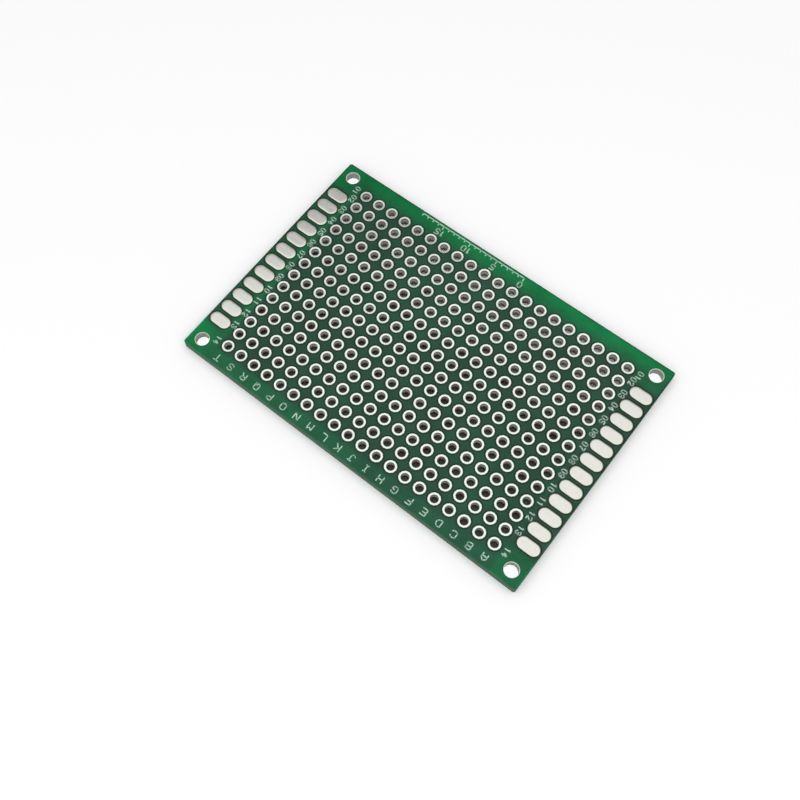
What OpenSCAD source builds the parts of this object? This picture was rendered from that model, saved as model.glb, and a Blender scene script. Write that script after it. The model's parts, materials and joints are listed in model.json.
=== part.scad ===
// Double-sided prototype board: a glass-epoxy laminate with a grid of plated
// through holes, long solder pads along both short edges, a mounting hole in
// each corner and a thin solder mask on each face.
// +X runs along the columns, from the first letter to the last. +Y runs along
// the rows, from the first number to the last. +Z leaves the lettered face.
// The origin is below the middle of the board, level with its lowest points.

/* [Grid] */
// Distance between neighbouring hole centres, both ways
pitch = 2.54; // [2.3:0.01:3.0]
// Number of columns, lettered along the long side
columns = 20; // [6:1:26]
// Number of rows, numbered along the short side
rows = 14; // [6:1:24]

/* [Board] */
// From the outer columns' hole centres to the short edges
side_margin = 5.87; // [5.6:0.01:8.0]
// From the outer rows' hole centres to the long edges
end_margin = 3.49; // [3.2:0.01:6.0]
// Finished thickness, from the crown of the pads below to the crown above
board_t = 1.6; // [0.8:0.1:2.4]
// Radius that the cut leaves on the four corners
corner_r = 0.35; // [0.1:0.05:1.0]

/* [Plated holes] */
// Diameter of a plated hole, inside its tinned wall
hole_d = 1.2; // [0.7:0.05:1.3]
// Thickness of the copper and tin on a hole's wall
wall_t = 0.05; // [0.03:0.01:0.06]
// Diameter of the solder ring round a hole
ring_d = 1.92; // [1.7:0.01:2.1]

/* [Edge pads] */
// Length of an edge pad over its round ends
pad_l = 3.5; // [2.6:0.1:3.8]
// Width of an edge pad
pad_w = 1.9; // [1.4:0.01:2.0]
// Bare strip between the outer end of a pad and the short edge
pad_edge_gap = 0.31; // [0.2:0.01:0.5]

/* [Tinned copper] */
// Height of the copper and tin at the rim of a ring or pad
foil_t = 0.035; // [0.03:0.005:0.07]
// How far the molten tin rises above that in the middle
crown_h = 0.025; // [0.01:0.005:0.04]
// How far the rim leans in from its foot, where the copper was etched
rim_lean = 0.02; // [0.01:0.005:0.04]

/* [Mounting holes] */
// Diameter of the plain hole in each corner
mount_d = 2.1; // [1.6:0.1:2.6]
// From the centre of a mounting hole to each of its two edges
mount_inset = 2.0; // [1.8:0.1:2.4]
// Bare laminate left round a mounting hole by the solder mask
mount_relief = 0.08; // [0.05:0.01:0.3]

/* [Solder mask] */
// Thickness of the green skin on each face
mask_t = 0.03; // [0.02:0.005:0.03]
// Gap between the edge of the mask and the copper it leaves free
mask_clear = 0.08; // [0.03:0.01:0.1]

/* [Hidden] */
$fn = 48;
crown_steps = 4;

board_l = (columns - 1) * pitch + 2 * side_margin;
board_w = (rows - 1) * pitch + 2 * end_margin;
pad_h = foil_t + crown_h;
laminate_t = board_t - 2 * pad_h;
laminate_z = pad_h;
drill_d = hole_d + 2 * wall_t;
pad_x = board_l / 2 - pad_edge_gap - pad_l / 2;
first_pad_row = 2;
last_pad_row = rows - 1;

tin = [0.88, 0.87, 0.84];
mask_green = [0.10, 0.42, 0.24];
laminate_tan = [0.62, 0.60, 0.46];

// The node that holds a row's plated holes: rows are numbered with two digits
function row_node(row) = str("plated_holes_row_", row < 10 ? "0" : "", row);

// Place of a column or a row, counted from 1, on a board centred on the origin
function column_x(column) = (column - (columns + 1) / 2) * pitch;
function row_y(row) = (row - (rows + 1) / 2) * pitch;

// Section of the tin across a width, as [distance in from the rim, height]:
// the lean of the rim, then a sine that rises to the crown. An arc of 180 falls
// again at the far side, and an arc of 90 ends on the crown.
function tin_section(width, arc) = concat(
    [[0, 0]],
    [for (k = [0:crown_steps])
        let (u = k / crown_steps)
        [rim_lean + u * (width - rim_lean), foil_t + crown_h * sin(arc * u)]]
);

function reversed(list) = [for (k = [len(list) - 1:-1:0]) list[k]];

// Outline of the board, with its corners eased by squares set in a cross and
// a circle in each corner
module board_outline() {
    square([board_l - 2 * corner_r, board_w], center = true);
    square([board_l, board_w - 2 * corner_r], center = true);
    for (x = [-1, 1], y = [-1, 1])
        translate([x * (board_l / 2 - corner_r), y * (board_w / 2 - corner_r)])
            circle(r = corner_r);
}

module at_grid()
    for (column = [1:columns], row = [1:rows])
        translate([column_x(column), row_y(row)]) children();

module at_mounting_holes()
    for (x = [-1, 1], y = [-1, 1])
        translate([x * (board_l / 2 - mount_inset), y * (board_w / 2 - mount_inset)])
            children();

module at_edge_pads(side)
    for (row = [first_pad_row:last_pad_row])
        translate([side * pad_x, row_y(row)]) children();

// Flat shape with round ends, along X
module obround(length, width) {
    square([length - width, width], center = true);
    for (x = [-1, 1])
        translate([x * (length - width) / 2, 0]) circle(d = width);
}

// The glass-epoxy laminate itself, drilled for the plating and for the screws
module rigid_laminate()
    color(laminate_tan)
        translate([0, 0, laminate_z])
            linear_extrude(laminate_t)
                difference() {
                    board_outline();
                    at_grid() circle(d = drill_d);
                    at_mounting_holes() circle(d = mount_d);
                }

// One green skin, open round every ring, pad and mounting hole
module solder_mask(z)
    color(mask_green)
        translate([0, 0, z])
            linear_extrude(mask_t)
                difference() {
                    board_outline();
                    at_grid() circle(d = ring_d + 2 * mask_clear);
                    for (side = [-1, 1])
                        at_edge_pads(side)
                            obround(pad_l + 2 * mask_clear, pad_w + 2 * mask_clear);
                    at_mounting_holes() circle(d = mount_d + 2 * mount_relief);
                }

module solder_mask_front() solder_mask(laminate_z + laminate_t);

module solder_mask_back() solder_mask(laminate_z - mask_t);

// The lining of one hole and the ring at each of its ends, as one revolved
// piece: the wall inside, the laminate's drilled wall outside
module plated_hole() {
    section = tin_section((ring_d - hole_d) / 2, 180);
    top = laminate_z + laminate_t;
    rotate_extrude()
        polygon(concat(
            [[drill_d / 2, laminate_z]],
            [for (p = section) [ring_d / 2 - p[0], laminate_z - p[1]]],
            [for (p = reversed(section)) [ring_d / 2 - p[0], top + p[1]]],
            [[drill_d / 2, top]]
        ));
}

module plated_holes_row(row)
    color(tin)
        for (column = [1:columns])
            translate([column_x(column), row_y(row), 0]) plated_hole();

// One crowned pad on Z = 0: its section is carried along the straight middle
// and turned through half a circle at each end
module edge_pad() {
    straight = pad_l - pad_w;
    section = tin_section(pad_w / 2, 90);
    half = [for (p = section) [pad_w / 2 - p[0], p[1]]];
    rotate([90, 0, 90])
        linear_extrude(straight, center = true)
            polygon(concat(half, reversed([for (p = half) [-p[0], p[1]]])));
    for (side = [0, 180])
        rotate([0, 0, side])
            translate([straight / 2, 0, 0])
                rotate([0, 0, -90])
                    rotate_extrude(angle = 180)
                        polygon(concat([[0, 0]], half));
}

module edge_pads_front(side)
    color(tin)
        translate([0, 0, laminate_z + laminate_t])
            at_edge_pads(side) edge_pad();

module edge_pads_back(side)
    color(tin)
        translate([0, 0, laminate_z])
            mirror([0, 0, 1])
                at_edge_pads(side) edge_pad();

rigid_laminate();
solder_mask_front();
solder_mask_back();
edge_pads_front(-1);  // edge_pads_front_left
edge_pads_front(1);  // edge_pads_front_right
edge_pads_back(-1);  // edge_pads_back_left
edge_pads_back(1);  // edge_pads_back_right
for (row = [1:rows])
    plated_holes_row(row);
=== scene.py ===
"""Looks of the prototype board: green solder mask, tinned holes and pads, printed legend and stage."""

import json
import math

import bmesh
import bpy
import numpy as np
from bpy.props import (
    FloatProperty,
    FloatVectorProperty,
    IntProperty,
    PointerProperty,
)
from mathutils import Matrix, Vector


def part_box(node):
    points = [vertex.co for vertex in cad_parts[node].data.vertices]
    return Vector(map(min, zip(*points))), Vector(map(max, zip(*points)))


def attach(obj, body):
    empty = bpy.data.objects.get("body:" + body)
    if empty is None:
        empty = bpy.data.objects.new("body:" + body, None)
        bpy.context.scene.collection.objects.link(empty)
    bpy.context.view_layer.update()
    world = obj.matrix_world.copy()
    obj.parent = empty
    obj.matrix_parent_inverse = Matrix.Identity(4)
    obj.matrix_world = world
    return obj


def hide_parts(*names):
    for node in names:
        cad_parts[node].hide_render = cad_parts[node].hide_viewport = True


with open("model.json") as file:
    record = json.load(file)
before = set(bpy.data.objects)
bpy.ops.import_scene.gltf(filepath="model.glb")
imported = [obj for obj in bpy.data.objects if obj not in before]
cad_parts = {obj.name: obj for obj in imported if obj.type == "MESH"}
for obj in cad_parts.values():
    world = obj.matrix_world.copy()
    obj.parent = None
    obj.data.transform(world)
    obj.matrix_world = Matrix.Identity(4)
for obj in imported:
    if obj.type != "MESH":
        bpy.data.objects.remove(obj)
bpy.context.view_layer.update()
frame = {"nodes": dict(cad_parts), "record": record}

bl_info = {
    "name": "Prototype board looks",
    "version": (1, 0, 0),
    "blender": (4, 5, 0),
    "location": "View3D > Sidebar > Proto Board",
    "description": "Dresses a packed prototype board with tin, solder mask, legend and a stage",
    "category": "Object",
}

BODY = "root"
MM = 0.001
ROW_PREFIX = "plated_holes_row_"
ROW_NODES = sorted(n for n in frame["nodes"] if n.startswith(ROW_PREFIX))
PAD_NODES = sorted(n for n in frame["nodes"] if n.startswith("edge_pads_"))
MASK_NODES = ("solder_mask_front", "solder_mask_back")
MOUNTS = {m["name"]: m for m in frame["record"]["mounts"]}

# Driving sizes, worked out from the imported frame, in metres
LAMINATE_LOW, LAMINATE_HIGH = (np.array(corner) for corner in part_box("rigid_laminate"))
MASK_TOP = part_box("solder_mask_front")[1].z
FIRST_LOW, FIRST_HIGH = (np.array(corner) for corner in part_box(ROW_NODES[0]))
SECOND_LOW, SECOND_HIGH = (np.array(corner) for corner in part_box(ROW_NODES[1]))
BOARD_T = FIRST_HIGH[2] - FIRST_LOW[2]
RING_D = FIRST_HIGH[1] - FIRST_LOW[1]
PITCH = (SECOND_LOW + SECOND_HIGH - FIRST_LOW - FIRST_HIGH)[1] / 2
ROWS = len(ROW_NODES)
COLUMNS = round((FIRST_HIGH[0] - FIRST_LOW[0] - RING_D) / PITCH) + 1
PAD_ROWS = ROWS - 2
HOLE_R = MOUNTS["hole_a01"]["dims"]["r_mm"] * MM
PAD_H = LAMINATE_LOW[2] - FIRST_LOW[2]
PAD_LOW, PAD_HIGH = (np.array(corner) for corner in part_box("edge_pads_front_right"))
PAD_X = (PAD_LOW + PAD_HIGH)[0] / 2
PAD_L = (PAD_HIGH - PAD_LOW)[0]
PAD_W = (PAD_HIGH - PAD_LOW)[1] - (PAD_ROWS - 1) * PITCH
SCREW = MOUNTS["mounting_holes"]["dims"]
SCREW_PLACE = (SCREW["spacing_x_mm"] / 2 * MM, SCREW["spacing_y_mm"] / 2 * MM)
SCREW_R = SCREW["hole_r_mm"] * MM
COLUMN_X = (np.arange(COLUMNS) - (COLUMNS - 1) / 2) * PITCH
ROW_Y = (np.arange(ROWS) - (ROWS - 1) / 2) * PITCH
# Thickness of the plating in a hole, which no box of the frame shows
PLATING_T = 0.05 * MM


# Sizes and colours that a user would change


class PROTO_PG_tin(bpy.types.PropertyGroup):
    """How evenly the molten tin set on the rings and pads."""

    seed: IntProperty(name="Seed", description="Starts the order of random draws", default=14)
    tilt: FloatProperty(
        name="Crown tilt",
        description="Share of the crown that the low side of a ring may lose",
        default=0.5, min=0.0, max=0.9,
    )
    wave: FloatProperty(
        name="Pad wave",
        description="How far the top of a long pad dips in its hollows",
        default=0.014 * MM, min=0.0, unit="LENGTH",
    )


class PROTO_PG_legend(bpy.types.PropertyGroup):
    """Sizes of the printed letters and numbers."""

    letter_h: FloatProperty(
        name="Letter height", description="Height of a column letter's centre lines",
        default=0.99 * MM, min=0.1 * MM, unit="LENGTH",
    )
    letter_w: FloatProperty(
        name="Letter width", description="Width of a column letter's centre lines",
        default=0.77 * MM, min=0.1 * MM, unit="LENGTH",
    )
    digit_h: FloatProperty(
        name="Digit height", description="Height of a row number's centre lines",
        default=0.80 * MM, min=0.1 * MM, unit="LENGTH",
    )
    digit_w: FloatProperty(
        name="Digit width", description="Width of one digit's centre lines",
        default=0.47 * MM, min=0.1 * MM, unit="LENGTH",
    )
    digit_pitch: FloatProperty(
        name="Digit pitch", description="From one digit to the next",
        default=0.75 * MM, min=0.1 * MM, unit="LENGTH",
    )
    stroke: FloatProperty(
        name="Stroke", description="Width of a printed line",
        default=0.17 * MM, min=0.02 * MM, unit="LENGTH",
    )
    ink_t: FloatProperty(
        name="Ink thickness", description="How far the ink stands on the mask",
        default=0.012 * MM, min=0.001 * MM, unit="LENGTH",
    )


class PROTO_PG_colours(bpy.types.PropertyGroup):
    """Plain colours of the finishes, scene linear."""

    mask_field: FloatVectorProperty(
        name="Mask, field", description="Green between the holes",
        subtype="COLOR", size=3, default=(0.021, 0.067, 0.045), min=0.0, max=1.0,
    )
    # mask_margin is painted light: the strips look brighter green where light shines through the board
    mask_margin: FloatVectorProperty(
        name="Mask, margin", description="Green of the bare strips along the edges",
        subtype="COLOR", size=3, default=(0.004, 0.188, 0.055), min=0.0, max=1.0,
    )
    tin: FloatVectorProperty(
        name="Tin", description="Bright tin",
        subtype="COLOR", size=3, default=(0.68, 0.75, 0.67), min=0.0, max=1.0,
    )
    dull_tin: FloatVectorProperty(
        name="Tin, dull", description="Dull tin in the middle of the long pads",
        subtype="COLOR", size=3, default=(0.61, 0.61, 0.57), min=0.0, max=1.0,
    )
    cream_tin: FloatVectorProperty(
        name="Tin, cream", description="Thin tin round the rim of the long pads",
        subtype="COLOR", size=3, default=(0.60, 0.62, 0.50), min=0.0, max=1.0,
    )
    # wall is raised to a bright colour that stands in for light deep in the bore: painted light
    wall: FloatVectorProperty(
        name="Hole wall", description="Dull tin inside the holes",
        subtype="COLOR", size=3, default=(0.57, 0.54, 0.50), min=0.0, max=1.0,
    )
    flux: FloatVectorProperty(
        name="Flux", description="Brown film left in some of the holes",
        subtype="COLOR", size=3, default=(0.16, 0.09, 0.07), min=0.0, max=1.0,
    )
    cut_edge: FloatVectorProperty(
        name="Cut edge", description="Sawn glass-epoxy round the board",
        subtype="COLOR", size=3, default=(0.055, 0.125, 0.065), min=0.0, max=1.0,
    )
    drilled: FloatVectorProperty(
        name="Drilled wall", description="Glass-epoxy in and round the mounting holes",
        subtype="COLOR", size=3, default=(0.68, 0.72, 0.66), min=0.0, max=1.0,
    )
    # bare_gap is glass-epoxy darkened by painted shade, for the narrow gaps round the tin
    bare_gap: FloatVectorProperty(
        name="Bare gap", description="Glass-epoxy between the mask and the tin",
        subtype="COLOR", size=3, default=(0.035, 0.038, 0.018), min=0.0, max=1.0,
    )
    ink: FloatVectorProperty(
        name="Ink", description="Printed white",
        subtype="COLOR", size=3, default=(0.50, 0.64, 0.56), min=0.0, max=1.0,
    )


class PROTO_PG_stage(bpy.types.PropertyGroup):
    """Light, floor and camera."""

    sky: FloatProperty(
        name="Sky", description="Brightness of the white surroundings as the board sees them",
        default=0.54, min=0.0,
    )
    key_power: FloatProperty(
        name="Key lamp", description="Power of the round lamp overhead",
        default=2.0, min=0.0, unit="POWER",
    )
    floor_white: FloatProperty(
        name="Floor white", description="Whiteness of the floor where it is looked at",
        default=1.02, min=0.0,
    )
    floor_far: FloatProperty(
        name="Floor far off", description="Whiteness of the floor beyond the lamp's reach",
        default=1.9, min=0.0,
    )
    # Painted light and shade on the floor, seen through the holes: lighter under the first rows, dark
    # under the last
    floor_shade: FloatVectorProperty(
        name="Floor shade", description="Whiteness of the floor under the first and the last rows",
        size=2, default=(1.15, 0.17), min=0.0,
    )
    # Painted light on the floor under the mounting holes, seen through them
    floor_screw: FloatProperty(
        name="Floor under screws", description="Whiteness of the floor under the mounting holes",
        default=2.2, min=0.0,
    )
    lens: FloatProperty(
        name="Lens", description="Focal length on a 36 mm wide image",
        default=47.394, min=1.0, unit="CAMERA",
    )
    shift: FloatVectorProperty(
        name="Shift", description="How far the image's middle lies from the lens axis",
        size=2, default=(0.07195, -0.0435),
    )


# Meshes


def new_piece(name, vertices, faces, material, smooth=True):
    """A mesh object at the origin, its vertices already in their place.

    smooth is one flag for all its faces, or one for each."""
    mesh = bpy.data.meshes.new(name)
    mesh.from_pydata(vertices.reshape(-1, 3).tolist(), [], faces)
    mesh.update()
    mesh.polygons.foreach_set("use_smooth", np.broadcast_to(smooth, len(mesh.polygons)))
    mesh.materials.append(material)
    piece = bpy.data.objects.new(name, mesh)
    bpy.context.scene.collection.objects.link(piece)
    return piece


def store(piece, name, values):
    """One number for each vertex, for the material to read."""
    layer = piece.data.attributes.new(name, "FLOAT", "POINT")
    layer.data.foreach_set("value", np.ascontiguousarray(values, np.float32).ravel())


def grid_faces(copies, across, along):
    """Quads of copies of a grid that closes on itself both ways, as an array of vertex numbers.

    Vertex (c, i, j) is number (c * across + i) * along + j. Each quad takes (i, j), (i, j + 1),
    (i + 1, j + 1) and (i + 1, j), with i and j taken round by the modulo."""
    c, i, j = np.meshgrid(np.arange(copies), np.arange(across), np.arange(along), indexing="ij")
    i_next, j_next = (i + 1) % across, (j + 1) % along
    corners = [(i, j), (i, j_next), (i_next, j_next), (i_next, j)]
    return np.stack([(c * across + a) * along + b for a, b in corners], -1).reshape(-1, 4)


def capped_faces(copies, across, along):
    """Faces of copies of a grid that closes only the second way, with a face over each end."""
    number = np.arange(copies * across * along).reshape(copies, across, along)
    faces = grid_faces(copies, across, along).reshape(copies, across, along, 4)[:, :-1]
    return faces.reshape(-1, 4).tolist() + number[:, -1].tolist() + number[:, 0, ::-1].tolist()


def recalculate(piece):
    """Turns every face of closed shells outwards."""
    mesh = bmesh.new()
    mesh.from_mesh(piece.data)
    bmesh.ops.recalc_face_normals(mesh, faces=mesh.faces)
    mesh.to_mesh(piece.data)
    mesh.free()


# Tinned holes

# Top of a ring as (share of its width in from the rim, share of the crown's height)
RING_SECTION = ((0.0, 0.0), (0.05, 0.9), (1.0, 0.7))
RING_SEGMENTS = 12
# Upright strips of a turned ring profile, by the number of their first point
UPRIGHT_STRIPS = (0, 2, 4, 6)
# Least share of the crown tilt, power that keeps a thick film rare, most dullness of a ring
LEAST_TILT = 0.1
FILM_POWER = 2.5
RING_DULLNESS = 0.25


def ring_profile():
    """Closed section of a tinned hole as arrays of radius, height, crown and bore.

    crown is 1 where the height comes from the molten tin, and bore is 1 on the hole's wall. The loop
    runs over the lower ring, up the bore, over the upper ring and down the drilled wall."""
    over = np.array(RING_SECTION)
    low, high = LAMINATE_LOW[2], LAMINATE_HIGH[2]
    radius = RING_D / 2 - over[:, 0] * (RING_D / 2 - HOLE_R)
    rise = over[:, 1] * PAD_H
    lower = np.stack([radius, low - rise], 1)
    upper = np.stack([radius, high + rise], 1)[::-1]
    drilled = HOLE_R + PLATING_T
    back = np.array([(drilled, high), (drilled, low)])
    points = np.concatenate([lower, upper, back])
    none = np.zeros(len(back))
    crown, bore = (
        np.concatenate([flag, flag[::-1], none]) for flag in (over[:, 1] > 0, over[:, 0] == 1)
    )
    return points[:, 0], points[:, 1], crown, bore


def tinned_row(number, look, rng, material):
    """All the tinned holes of one row: the ring profile turned about each hole's axis.

    A point at angle a has the profile's radius. Its height above the laminate is the profile's,
    lessened on one side by the share tilt * (1 - cos(a - p)) / 2, with a tilt and a phase p of its
    own for each hole and face."""
    radius, height, crown, bore = (values[None, :, None] for values in ring_profile())
    a = np.linspace(0, 2 * np.pi, RING_SEGMENTS, endpoint=False)
    upper = height > (LAMINATE_LOW[2] + LAMINATE_HIGH[2]) / 2
    face = np.where(upper, LAMINATE_HIGH[2], LAMINATE_LOW[2])

    phase = rng.uniform(0, 2 * np.pi, (2, COLUMNS, 1, 1))
    tilt = look.tilt * rng.uniform(LEAST_TILT, 1.0, (2, COLUMNS, 1, 1))
    loss = tilt * (1 - np.cos(a - phase)) / 2
    loss = np.where(upper, loss[0], loss[1]) * crown
    x = COLUMN_X[:, None, None] + radius * np.cos(a)
    y = ROW_Y[number] + radius * np.sin(a)
    z = face + (height - face) * (1 - loss)
    points = np.stack(np.broadcast_arrays(x, y, z), -1)

    shape = points.shape[:3]
    strip = np.broadcast_to(np.arange(shape[1])[None, :, None], shape)
    upright = np.isin(strip, UPRIGHT_STRIPS).ravel()
    faces = grid_faces(*shape).tolist()
    piece = new_piece(f"tinned_holes_{number + 1:02d}", points, faces, material, upright)

    film = rng.random((COLUMNS, 1, 1)) ** FILM_POWER
    dull = RING_DULLNESS * rng.random((COLUMNS, 1, 1)) ** 2
    for name, values in (("flux", film), ("bore", bore), ("dull", dull)):
        store(piece, name, np.broadcast_to(values, shape))
    return piece


# Edge pads

# Half a pad's top as (share of the half width in from the rim, share of the crown's height)
PAD_SECTION = ((0.0, 0.0), (0.03, 0.55), (0.14, 0.84), (0.34, 0.95), (0.62, 1.0), (0.97, 1.0))
ARC_POINTS = 13
SIDE_POINTS = 7
# Waves in a pad's top as (strength, radians per millimetre along X and along Y)
PAD_WAVES = ((1.0, 1 / 0.9, 0.0), (0.6, 1 / 0.42, 2.6), (0.5, 0.0, 3.5))
# Shares of the half width over which the cream rim turns to dull tin
CREAM_RIM = (0.05, 0.25)


def tinned_pads(node, look, rng, material):
    """The long pads of one side and face: an outline with round ends, drawn in to the middle line.

    A point (t, s) is the middle line's nearest point plus (1 - s) * half width along the outline's
    normal at t. Its height is that of the pad's section at s, less a dip that is the sum of a few
    cosines along and across the pad, each with a phase of its own for each pad."""
    low, high = (np.array(corner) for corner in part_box(node))
    front = low[2] > (LAMINATE_LOW[2] + LAMINATE_HIGH[2]) / 2
    length = high[0] - low[0]
    width = high[1] - low[1] - (PAD_ROWS - 1) * PITCH
    half, straight = width / 2, (length - width) / 2
    centre_x = (low[0] + high[0]) / 2

    arc = np.linspace(-np.pi / 2, np.pi / 2, ARC_POINTS)
    side = np.linspace(1, -1, SIDE_POINTS + 2)[1:-1]
    up = np.full(SIDE_POINTS, np.pi / 2)
    end = np.ones(ARC_POINTS)
    # the outline: right end, upper side, left end, lower side
    normal = np.concatenate([arc, up, arc + np.pi, -up])
    line = np.concatenate([end, side, -end, -side]) * straight

    inward, rise = (values[None, :, None] for values in np.array(PAD_SECTION).T)
    reach = (1 - inward) * half
    x = line + reach * np.cos(normal)
    y = reach * np.sin(normal)
    phase = rng.uniform(0, 2 * np.pi, (len(PAD_WAVES), PAD_ROWS, 1, 1))
    swell = sum(
        strength * np.cos((along * x + across * y) / MM + start)
        for (strength, along, across), start in zip(PAD_WAVES, phase)
    )
    dip = look.wave * (1 + swell / sum(wave[0] for wave in PAD_WAVES)) / 2
    above = rise * (PAD_H - dip * rise)
    z = LAMINATE_HIGH[2] + above if front else LAMINATE_LOW[2] - above
    rows_y = ROW_Y[1:-1, None, None]
    points = np.stack(np.broadcast_arrays(x + centre_x, y + rows_y, z), -1)

    shape = points.shape[:3]
    name = node.replace("edge_pads", "tinned_pads")
    piece = new_piece(name, points, capped_faces(*shape), material)
    recalculate(piece)
    cream = np.interp(inward, CREAM_RIM, (1.0, 0.0))
    for name, values in (("dull", 1.0), ("cream", cream)):
        store(piece, name, np.broadcast_to(values, shape))
    return piece


# Printed legend

# Centre lines on a field 4 wide and 6 high, each glyph as a list of joined lines
ROUND = [(1, 0), (3, 0), (4, 1), (4, 5), (3, 6), (1, 6), (0, 5), (0, 1), (1, 0)]
GLYPHS = {
    "0": [ROUND],
    "1": [[(1, 4.6), (2.2, 6), (2.2, 0)]],
    "2": [[(0, 5), (1, 6), (3, 6), (4, 5), (4, 4), (0, 0), (4, 0)]],
    "3": [[(0, 5), (1, 6), (3, 6), (4, 5), (4, 4.2), (3, 3.2), (1.6, 3.2)],
          [(3, 3.2), (4, 2.2), (4, 1), (3, 0), (1, 0), (0, 1)]],
    "4": [[(3, 0), (3, 6), (0, 2), (4, 2)]],
    "5": [[(4, 6), (0, 6), (0, 3.5), (3, 3.5), (4, 2.5), (4, 1), (3, 0), (1, 0), (0, 1)]],
    "6": [[(4, 5), (3, 6), (1, 6), (0, 5), (0, 1), (1, 0), (3, 0), (4, 1), (4, 2.4), (3, 3.4),
           (0, 3.4)]],
    "7": [[(0, 6), (4, 6), (4, 5), (1.5, 2.4), (1.5, 0)]],
    "8": [[(1, 3.2), (0, 4), (0, 5), (1, 6), (3, 6), (4, 5), (4, 4), (3, 3.2), (1, 3.2), (0, 2.2),
           (0, 1), (1, 0), (3, 0), (4, 1), (4, 2.2), (3, 3.2)]],
    "9": [[(0, 1), (1, 0), (3, 0), (4, 1), (4, 5), (3, 6), (1, 6), (0, 5), (0, 3.6), (1, 2.6),
           (4, 2.6)]],
    "A": [[(0, 0), (0, 4), (2, 6), (4, 4), (4, 0)], [(0, 2.2), (4, 2.2)]],
    "B": [[(0, 0), (0, 6), (3, 6), (4, 5), (4, 4.2), (3, 3.2), (0, 3.2)],
          [(3, 3.2), (4, 2.2), (4, 1), (3, 0), (0, 0)]],
    "C": [[(4, 5), (3, 6), (1, 6), (0, 5), (0, 1), (1, 0), (3, 0), (4, 1)]],
    "D": [[(0, 0), (0, 6), (2.4, 6), (4, 4.4), (4, 1.6), (2.4, 0), (0, 0)]],
    "E": [[(4, 6), (0, 6), (0, 0), (4, 0)], [(0, 3.2), (3, 3.2)]],
    "F": [[(4, 6), (0, 6), (0, 0)], [(0, 3.2), (3, 3.2)]],
    "G": [[(4, 5), (3, 6), (1, 6), (0, 5), (0, 1), (1, 0), (3, 0), (4, 1), (4, 2.8), (2.4, 2.8)]],
    "H": [[(0, 0), (0, 6)], [(4, 0), (4, 6)], [(0, 3), (4, 3)]],
    "I": [[(1, 0), (3, 0)], [(1, 6), (3, 6)], [(2, 0), (2, 6)]],
    "J": [[(1.4, 6), (4, 6)], [(3, 6), (3, 1), (2, 0), (1, 0), (0, 1)]],
    "K": [[(0, 0), (0, 6)], [(4, 6), (0, 2.4)], [(1.4, 3.8), (4, 0)]],
    "L": [[(0, 6), (0, 0), (4, 0)]],
    "M": [[(0, 0), (0, 6), (2, 3.6), (4, 6), (4, 0)]],
    "N": [[(0, 0), (0, 6), (4, 0), (4, 6)]],
    "O": [ROUND],
    "P": [[(0, 0), (0, 6), (3, 6), (4, 5), (4, 4), (3, 3), (0, 3)]],
    "Q": [ROUND, [(2.4, 1.6), (4, 0)]],
    "R": [[(0, 0), (0, 6), (3, 6), (4, 5), (4, 4), (3, 3), (0, 3)], [(2, 3), (4, 0)]],
    "S": [[(4, 5), (3, 6), (1, 6), (0, 5), (0, 4.2), (1, 3.3), (3, 2.8), (4, 1.8), (4, 1), (3, 0),
           (1, 0), (0, 1)]],
    "T": [[(0, 6), (4, 6)], [(2, 6), (2, 0)]],
}
GLYPH_SIZE = (4, 6)
LETTERS = "ABCDEFGHIJKLMNOPQRST"


def glyph_segments(glyph, width, height, centre, turned=False):
    """Both ends of each straight stroke of a glyph, centred on a point, as an array (n, 2, 2).

    A turned glyph reads upwards: (x, y) becomes (-y, x)."""
    ends = [(a, b) for line in GLYPHS[glyph] for a, b in zip(line, line[1:])]
    ends = (np.array(ends, float) / GLYPH_SIZE - 0.5) * (width, height)
    if turned:
        ends = np.stack([-ends[..., 1], ends[..., 0]], -1)
    return ends + np.asarray(centre, float)


def number_segments(text, look, centre):
    """A row number that reads upwards, its digits one above the other."""
    offsets = (np.arange(len(text)) - (len(text) - 1) / 2) * look.digit_pitch
    return [
        glyph_segments(digit, look.digit_w, look.digit_h, (centre[0], centre[1] + up), turned=True)
        for digit, up in zip(text, offsets)
    ]


# Places of the legend on the face, from the hole that it names
LETTER_UP = 2.36 * MM
NUMBER_LEFT = -1.64 * MM
NUMBER_RIGHT = 1.49 * MM
FIRST_LEFT, LAST_LEFT = (-2.0 * MM, 0.06 * MM), (-1.96 * MM, 0.02 * MM)
FIRST_RIGHT, LAST_RIGHT = (1.97 * MM, -0.04 * MM), (1.92 * MM, 0.20 * MM)
# Slip of the left numbers at the second row, more in the middle, less near the last row
LEFT_SLIP = (1.12 * MM, 0.18 * MM, 0.08 * MM)
# Slip of the right numbers at the second row, less near the last row
RIGHT_SLIP = (0.94 * MM, 0.16 * MM)


def row_number_places(row):
    """Where the number of a row stands beside its first and last hole.

    Between the pads a number slips down by about half a pitch: most in the middle rows."""
    if row == 0:
        return FIRST_LEFT, FIRST_RIGHT
    if row == ROWS - 1:
        return LAST_LEFT, LAST_RIGHT
    share = (row - 1) / (PAD_ROWS - 1)
    start, middle, end = LEFT_SLIP
    left = start + middle * math.sin(math.pi * share) - end * share ** 3
    right = RIGHT_SLIP[0] - RIGHT_SLIP[1] * share
    return (NUMBER_LEFT, -left), (NUMBER_RIGHT, -right)


def field_segments(look, flip=1):
    """Row numbers and column letters. On the back, flip is -1: the columns run the other way."""
    parts = []
    for column, letter in enumerate(LETTERS[:COLUMNS]):
        place = (flip * COLUMN_X[column], ROW_Y[-1] + LETTER_UP)
        parts.append(glyph_segments(letter, look.letter_w, look.letter_h, place))
    for row in range(ROWS):
        text = f"{row + 1:02d}"
        left, right = row_number_places(row)
        for start, (across, up) in ((COLUMN_X[0], left), (COLUMN_X[-1], right)):
            parts += number_segments(text, look, (start + across, ROW_Y[row] + up))
    return parts


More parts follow.
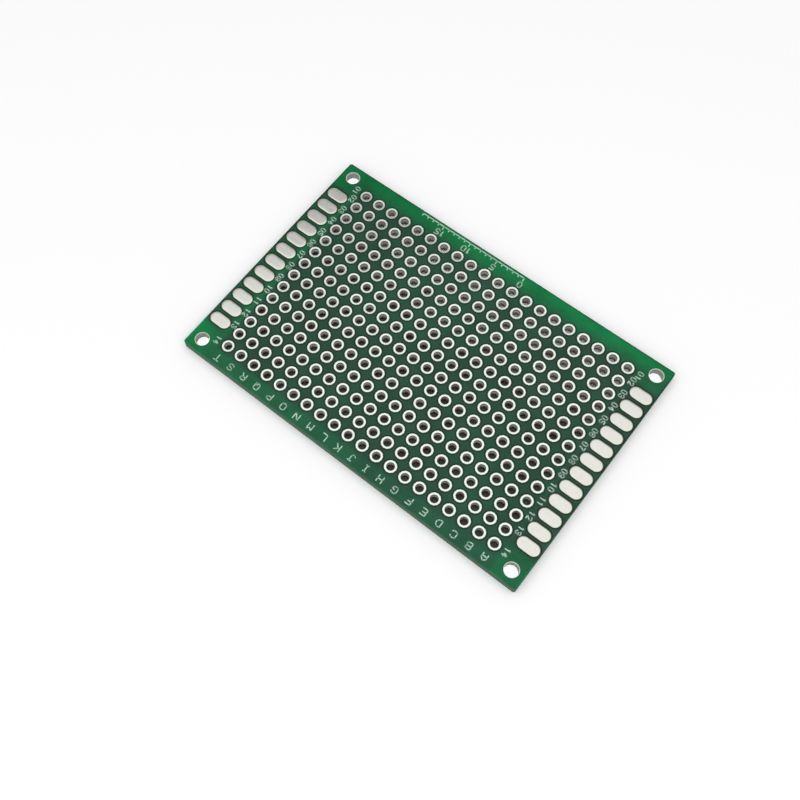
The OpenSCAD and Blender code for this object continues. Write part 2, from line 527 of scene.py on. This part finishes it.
# The scale, from the first column: its length in millimetres, one number every few ticks
SCALE_START = 20.2 * MM
SCALE_LENGTH = 19
NUMBER_EVERY = 5
SCALE_DROP = 3.06 * MM
TICK = 0.34 * MM
LONG_TICK = 0.56 * MM
SCALE_DIGIT = (0.62 * MM, 0.94 * MM)
SCALE_DIGIT_UP = 0.76 * MM
SCALE_DIGIT_SPREAD = 1.1


def scale_segments(look):
    """A plain millimetre scale on the lower strip: one tick a millimetre and a number every five."""
    base = ROW_Y[0] - SCALE_DROP
    marks = np.arange(SCALE_LENGTH + 1)
    x = COLUMN_X[0] + SCALE_START + marks * MM
    numbered = marks % NUMBER_EVERY == 0
    low = np.stack([x, np.full(len(x), base)], -1)
    high = np.stack([x, base + np.where(numbered, LONG_TICK, TICK)], -1)
    parts = [np.stack([low, high], 1), np.array([[low[0], low[-1]]])]
    up = base + LONG_TICK + SCALE_DIGIT_UP
    for mark in marks[numbered]:
        text = str(mark)
        for k, digit in enumerate(text):
            aside = (k - (len(text) - 1) / 2) * look.digit_pitch * SCALE_DIGIT_SPREAD
            parts.append(glyph_segments(digit, *SCALE_DIGIT, (x[mark] + aside, up)))
    return parts


CAP_STEPS = 6
# Levels of a printed line as (share of its half width, share of its thickness)
INK_LEVELS = ((1.0, 0.0), (1.0, 0.6), (0.8, 1.0))


def strokes(name, segments, look, material, back=False):
    """Printed lines: for each segment an outline with round ends, carried up through three levels.

    A point of the outline is an end plus half the stroke's width times (cos q, sin q) in the
    segment's own axes, with q over half a circle at each end. The top level is drawn in a little,
    which eases the edge. On the back, (x, y, z) becomes (-x, y, board thickness - z)."""
    ends = np.concatenate(segments)
    a, b = ends[:, :1], ends[:, 1:]
    along = (b - a) / np.linalg.norm(b - a, axis=2, keepdims=True)
    across = np.stack([-along[..., 1], along[..., 0]], -1)
    q = np.linspace(-np.pi / 2, np.pi / 2, CAP_STEPS)
    q = np.concatenate([q, q + np.pi])[:, None]
    centre = np.concatenate([np.repeat(b, CAP_STEPS, 1), np.repeat(a, CAP_STEPS, 1)], 1)
    push = np.cos(q) * along + np.sin(q) * across
    reach, rise = (values[None, :, None, None] for values in np.array(INK_LEVELS).T)
    flat = centre[:, None] + push[:, None] * reach * look.stroke / 2
    z = np.broadcast_to(MASK_TOP + rise * look.ink_t, flat.shape[:3] + (1,))
    points = np.concatenate([flat, z], -1)
    if back:
        points = points * (-1, 1, -1) + (0, 0, BOARD_T)
    piece = new_piece(name, points, capped_faces(*points.shape[:3]), material, smooth=False)
    recalculate(piece)
    return piece


# Materials


class Nodes:
    """Short calls to build a node tree."""

    def __init__(self, tree):
        self.tree = tree

    def add(self, kind, inputs=None, **settings):
        """A new node with its settings, and with inputs given by name or number."""
        node = self.tree.nodes.new(kind)
        for key, value in settings.items():
            setattr(node, key, value)
        for key, value in (inputs or {}).items():
            self.put(node.inputs[key], value)
        return node

    def put(self, socket, value):
        """Feeds a socket from another socket, from a node's first output or with a plain value."""
        if isinstance(value, bpy.types.NodeSocket):
            self.tree.links.new(value, socket)
        elif isinstance(value, bpy.types.Node):
            self.tree.links.new(value.outputs[0], socket)
        else:
            socket.default_value = value

    def math(self, operation, a, b=0.0, clamp=False):
        node = self.add("ShaderNodeMath", {0: a, 1: b}, operation=operation, use_clamp=clamp)
        return node.outputs[0]

    def remap(self, value, low, high, to_low=0.0, to_high=1.0, smooth=False):
        """A ramp between two values, held at both ends."""
        inputs = {"Value": value, "From Min": low, "From Max": high, "To Min": to_low,
                  "To Max": to_high}
        kind = "SMOOTHSTEP" if smooth else "LINEAR"
        return self.add("ShaderNodeMapRange", inputs, interpolation_type=kind).outputs["Result"]

    def between(self, factor, low, high):
        """From low to high as a factor runs from 0 to 1."""
        return self.remap(factor, 0.0, 1.0, low, high)

    def mix(self, factor, a, b, blend="MIX"):
        node = self.add("ShaderNodeMix", data_type="RGBA", blend_type=blend)
        self.put(node.inputs["Factor"], factor)
        self.put(node.inputs["A"], a)
        self.put(node.inputs["B"], b)
        return node.outputs["Result"]

    def grey(self, value):
        """A colour with the same value in all three channels."""
        return self.add("ShaderNodeCombineColor", {0: value, 1: value, 2: value})

    def attribute(self, name):
        """A number that is stored on the mesh, 0 where there is none."""
        return self.add("ShaderNodeAttribute", attribute_name=name).outputs["Fac"]

    def place(self):
        """The object coordinates, as outputs X, Y and Z."""
        coordinates = self.add("ShaderNodeTexCoord").outputs["Object"]
        return self.add("ShaderNodeSeparateXYZ", {0: coordinates}).outputs


def colour4(colour):
    return (*colour, 1.0)


def scaled(colour, factor):
    return tuple(min(c * factor, 1.0) for c in colour)


def cleared(tree):
    """The short calls for a node tree that is emptied first."""
    tree.nodes.clear()
    return Nodes(tree)


def new_group(name, inputs, outputs):
    """An empty node group of numbers. inputs gives each one's name and first value."""
    tree = bpy.data.node_groups.new(name, "ShaderNodeTree")
    for socket, value in inputs:
        made = tree.interface.new_socket(socket, in_out="INPUT", socket_type="NodeSocketFloat")
        made.default_value = value
    for socket in outputs:
        tree.interface.new_socket(socket, in_out="OUTPUT", socket_type="NodeSocketFloat")
    return tree


def group_once(name, make):
    return bpy.data.node_groups.get(name) or make(name)


# Values of the coarse and of the fine noise that the mottle and the grain run between
COARSE_SPAN = (0.3, 0.7)
FINE_SPAN = (0.25, 0.75)
# Share of the mottle in the height that a bump takes
MOTTLE_SHARE = 0.65


def grain_group(name):
    """Two sizes of noise on object coordinates, put out as a mottle, a fine grain and a height."""
    tree = new_group(name, (("Coarse", 300.0), ("Fine", 4000.0)), ("Mottle", "Grain", "Height"))
    n = Nodes(tree)
    source, sink = n.add("NodeGroupInput"), n.add("NodeGroupOutput")
    place = n.add("ShaderNodeTexCoord").outputs["Object"]
    coarse = n.add("ShaderNodeTexNoise", {"Vector": place, "Scale": source.outputs["Coarse"],
                                          "Detail": 3.0, "Roughness": 0.55})
    fine = n.add("ShaderNodeTexNoise", {"Vector": place, "Scale": source.outputs["Fine"],
                                        "Detail": 2.0, "Roughness": 0.6})
    mottle = n.remap(coarse.outputs["Fac"], *COARSE_SPAN, smooth=True)
    grain = n.remap(fine.outputs["Fac"], *FINE_SPAN)
    height = n.math("ADD", n.math("MULTIPLY", mottle, MOTTLE_SHARE),
                    n.math("MULTIPLY", grain, 1 - MOTTLE_SHARE))
    for socket, value in (("Mottle", mottle), ("Grain", grain), ("Height", height)):
        n.put(sink.inputs[socket], value)
    return tree


def new_material(name):
    """An empty material with a shader wired to the output. Returns (material, nodes, shader)."""
    material = bpy.data.materials.new(name)
    material.use_nodes = True
    n = cleared(material.node_tree)
    shader = n.add("ShaderNodeBsdfPrincipled")
    n.add("ShaderNodeOutputMaterial", {"Surface": shader.outputs["BSDF"]})
    return material, n, shader


def grain_node(n, coarse, fine):
    """The grain group, with the scales of its coarse and its fine noise."""
    tree = group_once("board_grain", grain_group)
    return n.add("ShaderNodeGroup", {"Coarse": coarse, "Fine": fine}, node_tree=tree)


def bump(n, height, strength, depth):
    """A normal bent by a height between 0 and 1 that stands for a depth in metres."""
    node = n.add("ShaderNodeBump", {"Height": height, "Strength": strength, "Distance": depth})
    return node.outputs["Normal"]


def distance(n, x, y):
    """Square root of x squared plus y squared."""
    return n.math("SQRT", n.math("ADD", n.math("MULTIPLY", x, x), n.math("MULTIPLY", y, y)))


def openings_group(name):
    """How far a point of the mask lies from the copper, put out as a length.

    Round a hole it is the distance to the nearest grid point less the ring's radius. Beside a long
    pad it is the distance to the pad's middle line less its half width. The smaller one counts."""
    tree = new_group(name, (), ("Distance",))
    n = Nodes(tree)
    place = n.place()
    offsets = []
    for axis, count in (("X", COLUMNS), ("Y", ROWS)):
        inside = n.math("SUBTRACT", place[axis], (count - 1) % 2 * PITCH / 2)
        wrap = {0: inside, 1: PITCH / 2, 2: -PITCH / 2}
        inside = n.add("ShaderNodeMath", wrap, operation="WRAP").outputs[0]
        outside = n.math("SUBTRACT", n.math("ABSOLUTE", place[axis]), (count - 1) / 2 * PITCH)
        offsets.append(n.math("MAXIMUM", n.math("ABSOLUTE", inside), outside))
    across = n.math("ABSOLUTE", n.math("SUBTRACT", n.math("ABSOLUTE", place["X"]), PAD_X))
    across = n.math("MAXIMUM", n.math("SUBTRACT", across, (PAD_L - PAD_W) / 2), 0.0)
    outer = n.math("SUBTRACT", n.math("ABSOLUTE", place["Y"]), (PAD_ROWS - 1) / 2 * PITCH)
    beside = n.math("MAXIMUM", offsets[1], outer)
    ring = n.math("SUBTRACT", distance(n, *offsets), RING_D / 2)
    pad = n.math("SUBTRACT", distance(n, across, beside), PAD_W / 2)
    n.add("NodeGroupOutput", {"Distance": n.math("MINIMUM", ring, pad)})
    return tree


def from_edge(n):
    """Distance in from the nearest of the board's four edges."""
    place = n.place()
    gaps = [n.math("SUBTRACT", LAMINATE_HIGH[k], n.math("ABSOLUTE", place[k])) for k in (0, 1)]
    return n.math("MINIMUM", *gaps)


def from_screw(n):
    """Distance from the axis of the nearest mounting hole."""
    place = n.place()
    far = [n.math("SUBTRACT", n.math("ABSOLUTE", place[k]), SCREW_PLACE[k]) for k in (0, 1)]
    return distance(n, *far)


# Turns of the mask's green to the margin's painted glow, light that shines through the board near its
# edges, as distances beyond the outer hole centres. FIRST_TURN lies beyond the first row, and END_TURN
# beyond the last row and the last column. PAD_TURN lies between the last column and the long pads,
# CORNER_TURN on both sides of a corner, and OUTER_TURN along the pads.
FIRST_TURN = (-0.1 * MM, 2.6 * MM)
END_TURN = (0.9 * MM, 1.6 * MM)
PAD_TURN = (2.1 * MM, 2.5 * MM)
CORNER_TURN = (0.9 * MM, 1.8 * MM)
OUTER_TURN = (1.0 * MM, 5.5 * MM)
# Strength of the margin's painted glow beyond the last row, from one place along X to another
LAST_ROW_REACH = (-10 * MM, 25 * MM)
LAST_ROW_GREEN = (0.16, 0.40)
# The same beside the last column, and the share of it that is left between the pads
BESIDE_GREEN = 0.5
BETWEEN_PADS = 0.3
# The same in the corners, from the holes to the edge, at the last column and at the first
LAST_CORNER_GREEN = (0.4, 0.95)
FIRST_CORNER_GREEN = (0.1, 0.35)


def beyond(n, value, line, turn, low=0.0, high=1.0):
    """A ramp from low to high over the two distances of a turn beyond a line."""
    return n.remap(value, line + turn[0], line + turn[1], low, high)


def margin_factor(n):
    """How far the mask's green turns from the field's to the margin's painted glow, between 0 and 1.

    It is the largest of four: a ramp beyond the first row, a weak one beyond the last row that
    grows towards the last column, one beside the last column that sinks again between the long
    pads, and the corners, where there are no pads."""
    place = n.place()
    x, y = place["X"], place["Y"]
    left, down = n.math("MULTIPLY", x, -1.0), n.math("MULTIPLY", y, -1.0)
    last_x, last_y = COLUMN_X[-1], ROW_Y[-1]
    first = beyond(n, down, last_y, FIRST_TURN)
    last = n.math("MULTIPLY", beyond(n, y, last_y, END_TURN),
                  n.remap(x, *LAST_ROW_REACH, *LAST_ROW_GREEN))
    beside = n.math("MULTIPLY", beyond(n, x, last_x, END_TURN, 0.0, BESIDE_GREEN),
                    beyond(n, x, last_x, PAD_TURN, 1.0, BETWEEN_PADS))
    corner = n.math("MULTIPLY", beyond(n, n.math("ABSOLUTE", y), ROW_Y[-2], CORNER_TURN),
                    beyond(n, n.math("ABSOLUTE", x), last_x, CORNER_TURN))
    out = n.math("MAXIMUM", beyond(n, x, last_x, OUTER_TURN, *LAST_CORNER_GREEN),
                 beyond(n, left, last_x, OUTER_TURN, *FIRST_CORNER_GREEN))
    corner = n.math("MULTIPLY", corner, out)
    return n.math("MAXIMUM", n.math("MAXIMUM", first, last), n.math("MAXIMUM", beside, corner))


# Tones that the mask's slow mottle and its fine speck run between
MOTTLE_TONE = (0.86, 1.12)
SPECK_TONE = (0.92, 1.08)
# Painted shade towards the corner of the first row and the last column, over a stretch of X less Y
CORNER_REACH = (18 * MM, 42 * MM)
CORNER_SHADE = (1.0, 0.8)
# Where the painted shade round an opening in the mask starts and ends, from the copper, and how dark
# it is
OUTLINE = (0.12 * MM, 0.28 * MM)
OUTLINE_SHADE = 0.35
# Where the painted band round the board's edge starts and ends, and its factor over a stretch of Y:
# painted shade towards the first row, a painted highlight towards the last
EDGE_BAND = (0.06 * MM, 0.26 * MM)
EDGE_BAND_REACH = (-5 * MM, 15 * MM)
EDGE_LIGHT_AND_SHADE = (0.5, 1.35)
# Most that a slow cloud adds to the margin's painted glow
CLOUD = 0.1


def mask_tone(n, grain):
    """Shade of the mask as a factor: its grain, and painted light and shade.

    The painted shade lies round the copper, along the board's edge and towards one corner, and a
    painted highlight lies along the edge beyond the last row.
    """
    place = n.place()
    tone = n.between(grain.outputs["Mottle"], *MOTTLE_TONE)
    speck = n.between(grain.outputs["Grain"], *SPECK_TONE)
    openings = group_once("board_openings", openings_group)
    away = n.add("ShaderNodeGroup", node_tree=openings).outputs["Distance"]
    # Painted shade round the copper openings, darkest at the copper
    outline = n.remap(away, *OUTLINE, OUTLINE_SHADE, 1.0, smooth=True)
    # Painted shade and painted highlight in a band along the board's edge
    edge_light = n.remap(from_edge(n), *EDGE_BAND, n.remap(place["Y"], *EDGE_BAND_REACH, *EDGE_LIGHT_AND_SHADE), 1.0)
    # Painted shade towards one corner
    corner = n.remap(n.math("SUBTRACT", place["X"], place["Y"]), *CORNER_REACH, *CORNER_SHADE)
    for shade in (speck, outline, edge_light, corner):
        tone = n.math("MULTIPLY", tone, shade)
    return tone


def mask_material(colours):
    """Glossy green lacquer over the laminate: darker over the field of holes.

    Along the strips by the edges it is brighter: painted light that shines through the board.
    """
    material, n, shader = new_material("solder_mask_green")
    grain = grain_node(n, coarse=260.0, fine=2600.0)
    cloud = grain_node(n, coarse=42.0, fine=90.0).outputs["Mottle"]
    # Painted glow of light shining through the board near its edges
    margin = n.math("ADD", margin_factor(n), n.math("MULTIPLY", cloud, CLOUD), clamp=True)
    green = n.mix(margin, colour4(colours.mask_field), colour4(colours.mask_margin))
    green = n.mix(1.0, green, n.grey(mask_tone(n, grain)), "MULTIPLY")
    n.put(shader.inputs["Base Color"], green)
    n.put(shader.inputs["Roughness"], n.between(grain.outputs["Mottle"], 0.26, 0.38))
    n.put(shader.inputs["Normal"], bump(n, grain.outputs["Height"], strength=0.25, depth=0.01 * MM))
    shader.inputs["Specular IOR Level"].default_value = 0.1
    return material


# Where a ring's inner edge turns into the hole's wall, as shares of its width
INNER_EDGE = (0.78, 0.92)
# Depths in from both faces over which a hole's wall turns from painted shade to its full colour
WALL_TURN = (0.16 * MM, 0.44 * MM)
# How dark the painted shade near both faces is, as a factor of the wall's colour
WALL_END_SHADE = 0.08
# Thickness of the film of flux in its thin and its thick places, and the tones of the tin
FILM_SPREAD = (0.4, 1.0)
TIN_TONE = (0.96, 1.02)
# How metallic the wall and a full film of flux are
WALL_METAL = 0.25
FILM_METAL = 0.35


def hole_wall(n, colours):
    """Colour of a hole's wall: painted shade near both faces, painted light deep in the bore."""
    off_middle = n.math("ABSOLUTE", n.math("SUBTRACT", n.place()["Z"], BOARD_T / 2))
    deep = n.remap(off_middle, BOARD_T / 2 - WALL_TURN[0], BOARD_T / 2 - WALL_TURN[1])
    return n.mix(deep, colour4(scaled(colours.wall, WALL_END_SHADE)), colour4(colours.wall))


def tin_material(colours):
    """Bright tin on rings, duller tin with a cream rim on pads, grey walls and flux in holes.

    The walls carry painted shade near both faces and painted light deep in the bore.
    """
    material, n, shader = new_material("bright_tin")
    mottle = grain_node(n, coarse=1500.0, fine=9000.0).outputs["Mottle"]
    inside = n.remap(n.attribute("bore"), *INNER_EDGE)
    film = n.math("MULTIPLY", n.attribute("flux"), inside)
    film = n.math("MULTIPLY", film, n.remap(mottle, 0.1, 0.9, *FILM_SPREAD), clamp=True)
    tin = n.mix(n.attribute("dull"), colour4(colours.tin), colour4(colours.dull_tin))
    tin = n.mix(n.attribute("cream"), tin, colour4(colours.cream_tin))
    tin = n.mix(1.0, tin, n.grey(n.between(mottle, *TIN_TONE)), "MULTIPLY")
    # The hole's wall, with painted shade and painted light
    tin = n.mix(inside, tin, hole_wall(n, colours))
    n.put(shader.inputs["Base Color"], n.mix(film, tin, colour4(colours.flux)))
    metal = n.math("MULTIPLY", n.between(film, 1.0, FILM_METAL),
                   n.between(inside, 1.0, WALL_METAL))
    n.put(shader.inputs["Metallic"], metal)
    n.put(shader.inputs["Roughness"], n.between(mottle, 0.2, 0.25))
    n.put(shader.inputs["Normal"], bump(n, mottle, strength=0.03, depth=0.01 * MM))
    return material


# Tones of the cut laminate
CUT_TONE = (0.55, 1.4)
# Thickness of one ply of glass cloth, how far it wanders, and its share in the tone of the cut
PLY_T = 0.19 * MM
PLY_WANDER = 0.05 * MM
PLY_SHARE = 0.35
# Where the sawn rim of the board ends in plan, and that of a mounting hole in hole radii
SAWN_RIM = (0.12 * MM, 0.2 * MM)
SCREW_RIM = (1.3, 1.4)
# Depths over which a mounting hole's wall turns darker as painted shade, and how much
DRILLED_TURN = (0.05 * MM, 0.25 * MM)
DRILLED_SHADE = 0.62
# Shares of the thickness between which lacquer has run down the cut edge, and its shade
RUN_DOWN = (0.55, 0.95)
RUN_SHADE = 0.9


def laminate_material(colours):
    """Glass-epoxy: cut plies along the edges, pale drilled walls, dark gaps round the tin.

    The gaps and the deeper part of the mounting holes' walls carry painted shade.
    """
    material, n, shader = new_material("glass_epoxy")
    grain = grain_node(n, coarse=1100.0, fine=5200.0)
    height = n.place()["Z"]
    level = n.math("ADD", height, n.math("MULTIPLY", grain.outputs["Mottle"], PLY_WANDER))
    ply = n.remap(n.math("SINE", n.math("MULTIPLY", level, 2 * math.pi / PLY_T)), -1.0, 1.0)
    tone = n.math("ADD", n.math("MULTIPLY", ply, PLY_SHARE),
                  n.math("MULTIPLY", grain.outputs["Grain"], 1 - PLY_SHARE))
    rim = n.remap(from_edge(n), *SAWN_RIM, 1.0, 0.0)
    screw = n.remap(from_screw(n), *(SCREW_R * share for share in SCREW_RIM), 1.0, 0.0)
    # Painted shade deeper in a mounting hole
    deep = n.remap(height, *(LAMINATE_HIGH[2] - depth for depth in DRILLED_TURN))
    dark = colour4(scaled(colours.drilled, DRILLED_SHADE))
    drilled = n.mix(deep, colour4(colours.drilled), dark)
    lacquered = n.remap(level, *(BOARD_T * share for share in RUN_DOWN), smooth=True)
    run = colour4(scaled(colours.mask_field, RUN_SHADE))
    edge = n.mix(lacquered, colour4(colours.cut_edge), run)
    # Painted shade in the gaps round the tin
    colour = n.mix(rim, colour4(colours.bare_gap), edge)
    colour = n.mix(screw, colour, drilled)
    shade = n.grey(n.between(tone, *CUT_TONE))
    n.put(shader.inputs["Base Color"], n.mix(1.0, colour, shade, "MULTIPLY"))
    n.put(shader.inputs["Roughness"], n.between(tone, 0.85, 0.6))
    n.put(shader.inputs["Normal"], bump(n, tone, strength=0.5, depth=0.03 * MM))
    return material


# Most of the green that shows through starved ink, and how much brighter it is than the margin's
STARVED = 0.48
UNDER_INK = 1.6


def ink_material(colours):
    """Thin white ink: the green shows through where it is starved."""
    material, n, shader = new_material("legend_ink")
    grain = grain_node(n, coarse=2300.0, fine=12000.0)
    starved = n.remap(grain.outputs["Mottle"], 0.0, 0.8, STARVED, 0.0)
    under = scaled(colours.mask_margin, UNDER_INK)
    n.put(shader.inputs["Base Color"], n.mix(starved, colour4(colours.ink), colour4(under)))
    n.put(shader.inputs["Roughness"], n.between(grain.outputs["Grain"], 0.5, 0.7))
    n.put(shader.inputs["Normal"], bump(n, grain.outputs["Height"], strength=0.3, depth=0.01 * MM))
    return material


def dress(node, material):
    """Gives a CAD node its material."""
    mesh = frame["nodes"][node].data
    mesh.materials.clear()
    mesh.materials.append(material)


def material_once(name, make):
    return bpy.data.materials.get(name) or make(bpy.context.scene.proto_colours)


# Operators


class PROTO_OT_laminate(bpy.types.Operator):
    """Give the laminate its sawn glass-epoxy"""

    bl_idname = "proto.laminate"
    bl_label = "Laminate"

    def execute(self, context):
        dress("rigid_laminate", material_once("glass_epoxy", laminate_material))
        return {"FINISHED"}


class PROTO_OT_solder_mask(bpy.types.Operator):
    """Give both solder masks their green lacquer"""

    bl_idname = "proto.solder_mask"
    bl_label = "Solder mask"

    def execute(self, context):
        for node in MASK_NODES:
            dress(node, material_once("solder_mask_green", mask_material))
        return {"FINISHED"}


class PROTO_OT_plated_holes(bpy.types.Operator):
    """Build the tinned holes, one piece for each row"""

    bl_idname = "proto.plated_holes"
    bl_label = "Plated holes"

    def execute(self, context):
        look = context.scene.proto_tin
        rng = np.random.default_rng(look.seed)
        tin = material_once("bright_tin", tin_material)
        for number, node in enumerate(ROW_NODES):
            piece = tinned_row(number, look, rng, tin)
            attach(piece, BODY)
            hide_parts(node)
        return {"FINISHED"}


class PROTO_OT_edge_pads(bpy.types.Operator):
    """Build the long pads along both short edges, on both faces"""

    bl_idname = "proto.edge_pads"
    bl_label = "Edge pads"

    def execute(self, context):
        look = context.scene.proto_tin
        rng = np.random.default_rng(look.seed + 1)
        tin = material_once("bright_tin", tin_material)
        for node in PAD_NODES:
            piece = tinned_pads(node, look, rng, tin)
            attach(piece, BODY)
            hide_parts(node)
        return {"FINISHED"}


class PROTO_OT_legend(bpy.types.Operator):
    """Print the row numbers, the column letters and the scale"""

    bl_idname = "proto.legend"
    bl_label = "Legend"

    def execute(self, context):
        look = context.scene.proto_legend
        ink = material_once("legend_ink", ink_material)
        front = field_segments(look) + scale_segments(look)
        pieces = [
            strokes("legend_front", front, look, ink),
            strokes("legend_back", field_segments(look, flip=-1), look, ink, back=True),
        ]
        for piece in pieces:
            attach(piece, BODY)
        return {"FINISHED"}


# Camera in the board's own frame, above the lettered face
CAMERA_PLACE = Vector((-35.692, 54.752, 140.331)) * MM
CAMERA_RIGHT = Vector((-0.77751808, -0.62761478, -0.0395641))
CAMERA_DOWN = Vector((-0.55897499, 0.71856766, -0.41377226))
# Width of its image in millimetres, and its distance to the nearest thing that it can show
SENSOR_WIDTH = 36.0
NEAREST_SEEN = 0.005


def add_camera(look):
    camera = bpy.data.objects.new("camera", bpy.data.cameras.new("camera"))
    camera.data.lens = look.lens
    camera.data.sensor_width = SENSOR_WIDTH
    camera.data.shift_x, camera.data.shift_y = look.shift
    camera.data.clip_start = NEAREST_SEEN
    right, up = CAMERA_RIGHT.normalized(), -CAMERA_DOWN.normalized()
    back = right.cross(up)
    turn = Matrix((right, back.cross(right), back)).transposed()
    place = CAMERA_PLACE + Vector((0, 0, BOARD_T))
    camera.matrix_world = Matrix.Translation(place) @ turn.to_4x4()
    bpy.context.scene.collection.objects.link(camera)
    bpy.context.scene.camera = camera


FLOOR_HALF_WIDTH = 1.5
# From where to where the floor's whiteness makes up for the lamp's falling light
FLOOR_FADE = (0.12, 0.9)
# Where its painted shade under the grid starts, beyond the outer hole centres, and the row from which
# it is dimmest
DIM_START = (1.5 * MM, 1.0 * MM)
DIMMEST_ROW = 5
# Where its painted light under a mounting hole starts, in hole radii
SCREW_WHITE = (1.6, 1.2)
# Its whiteness for the light that it throws back onto the board
PAPER = 0.8


def floor_material(look):
    """White paper that keeps the shadow and shows as white where it is looked at or mirrored.

    Under the grid of holes it holds painted shade, lighter under the first rows, so that the holes
    look down into shade; under the mounting holes it holds painted light."""
    material = bpy.data.materials.new("white_floor")
    material.use_nodes = True
    n = cleared(material.node_tree)
    path = n.add("ShaderNodeLightPath").outputs
    seen = n.math("MAXIMUM", path["Is Camera Ray"], path["Is Glossy Ray"])
    place = n.place()
    under = 1.0
    for axis, edge in (("X", COLUMN_X[-1]), ("Y", ROW_Y[-1])):
        away = n.math("ABSOLUTE", place[axis])
        under = n.math("MULTIPLY", under, beyond(n, away, edge, DIM_START))
    middle = distance(n, place["X"], place["Y"])
    far = n.remap(middle, *FLOOR_FADE, look.floor_white, look.floor_far)
    turn = (SCREW_R * share for share in SCREW_WHITE)
    # Painted light under the mounting holes, and painted light and shade under the grid of holes
    screw = n.remap(from_screw(n), *turn, far, look.floor_screw)
    shade = n.remap(place["Y"], ROW_Y[0], ROW_Y[DIMMEST_ROW], *look.floor_shade)
    white = n.between(seen, PAPER, n.between(under, screw, shade))
    paper = n.add("ShaderNodeBsdfDiffuse", {"Color": n.grey(white)})
    n.add("ShaderNodeOutputMaterial", {"Surface": paper})
    return material


def add_floor(look):
    """A wide square on Z = 0, under the board's lowest points."""
    half = FLOOR_HALF_WIDTH
    corners = np.array([(-half, -half, 0), (half, -half, 0), (half, half, 0), (-half, half, 0)])
    floor = new_piece("floor", corners, [(0, 1, 2, 3)], floor_material(look), smooth=False)


def add_sky(look):
    """White surroundings, even on all sides, and plain white to the camera."""
    world = bpy.data.worlds.new("white_room")
    bpy.context.scene.world = world
    world.use_nodes = True
    n = cleared(world.node_tree)
    seen = n.add("ShaderNodeLightPath").outputs["Is Camera Ray"]
    strength = n.add("ShaderNodeMix", {"Factor": seen, "A": look.sky, "B": 1.0}, data_type="FLOAT")
    background = n.add("ShaderNodeBackground", {"Color": (1.0, 1.0, 1.0, 1.0),
                                                "Strength": strength.outputs["Result"]})
    n.add("ShaderNodeOutputWorld", {"Surface": background})


LAMP_PLACE = Vector((-0.13, 0.203, 0.40))
LAMP_WIDTH = 1.0


def add_lamp(look):
    """One wide soft lamp overhead.

    Flat tin mirrors it into the camera, up to its rim at one corner."""
    light = bpy.data.lights.new("key", "AREA")
    light.shape = "DISK"
    light.size = LAMP_WIDTH
    light.energy = look.key_power
    lamp = bpy.data.objects.new("key", light)
    lamp.location = LAMP_PLACE
    bpy.context.scene.collection.objects.link(lamp)


class PROTO_OT_stage(bpy.types.Operator):
    """Add the floor, the light and the camera"""

    bl_idname = "proto.stage"
    bl_label = "Stage"

    def execute(self, context):
        look = context.scene.proto_stage
        context.scene.view_settings.view_transform = "Standard"
        add_floor(look)
        add_sky(look)
        add_lamp(look)
        add_camera(look)
        return {"FINISHED"}


class PROTO_PT_panel(bpy.types.Panel):
    """Lists the steps that dress the board"""

    bl_label = "Prototype board"
    bl_idname = "PROTO_PT_panel"
    bl_space_type = "VIEW_3D"
    bl_region_type = "UI"
    bl_category = "Proto Board"

    def draw(self, context):
        for operator in OPERATORS:
            self.layout.operator(operator.bl_idname)
        for owner in SETTINGS:
            box = self.layout.box()
            group = getattr(context.scene, owner)
            for name in group.bl_rna.properties.keys():
                if name not in ("rna_type", "name"):
                    box.prop(group, name)


OPERATORS = (
    PROTO_OT_laminate,
    PROTO_OT_solder_mask,
    PROTO_OT_plated_holes,
    PROTO_OT_edge_pads,
    PROTO_OT_legend,
    PROTO_OT_stage,
)
SETTINGS = {
    "proto_tin": PROTO_PG_tin,
    "proto_legend": PROTO_PG_legend,
    "proto_colours": PROTO_PG_colours,
    "proto_stage": PROTO_PG_stage,
}
CLASSES = (*SETTINGS.values(), *OPERATORS, PROTO_PT_panel)


def register():
    for item in CLASSES:
        bpy.utils.register_class(item)
    for name, group in SETTINGS.items():
        setattr(bpy.types.Scene, name, PointerProperty(type=group))


def unregister():
    for name in SETTINGS:
        delattr(bpy.types.Scene, name)
    for item in reversed(CLASSES):
        bpy.utils.unregister_class(item)


def main():
    register()
    bpy.ops.proto.laminate()
    bpy.ops.proto.solder_mask()
    bpy.ops.proto.plated_holes()
    bpy.ops.proto.edge_pads()
    bpy.ops.proto.legend()
    bpy.ops.proto.stage()


if __name__ == "__main__":
    main()
